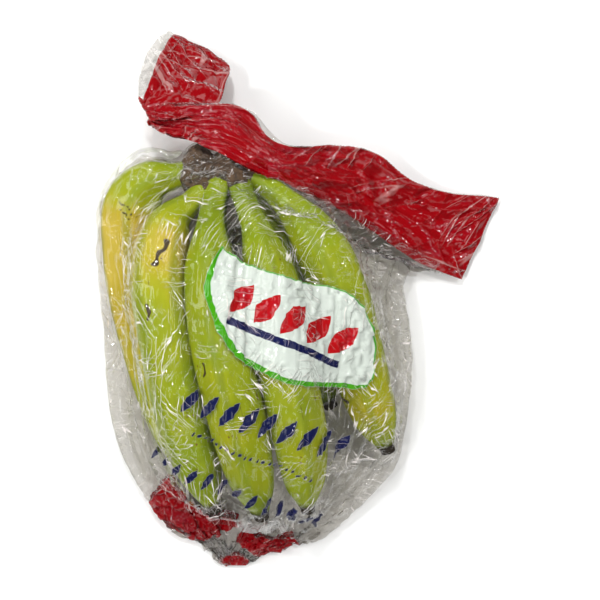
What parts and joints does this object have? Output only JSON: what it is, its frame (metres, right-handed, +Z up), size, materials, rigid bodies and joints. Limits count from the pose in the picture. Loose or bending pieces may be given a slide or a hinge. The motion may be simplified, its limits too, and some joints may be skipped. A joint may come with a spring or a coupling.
{
  "type": "bagged bunch of bananas",
  "caption": "Bunch of curved yellow-green bananas joined at a woody crown, in a clear film bag with a red band at its flattened mouth and a folded, gathered foot.",
  "frame": {"origin": "middle of the footprint's bounding box, on the table that the bag rests on", "axes": "+Z up; +Y from the fingers' tips towards the crown and the bag's mouth; +X across the bunch, towards the mouth's free end"},
  "size_m": [0.2876, 0.3838, 0.1047],
  "materials": {
    "peel": "smooth waxy peel",
    "crown": "rough, dry",
    "film": "clear, crinkled"
  },
  "bodies": {
    "root": {"crown": "crown", "banana_1": "peel", "banana_2": "peel", "banana_3": "peel", "banana_4": "peel", "banana_5": "peel", "banana_6": "peel", "banana_7": "peel", "bag": "film"}
  },
  "joints": []
}
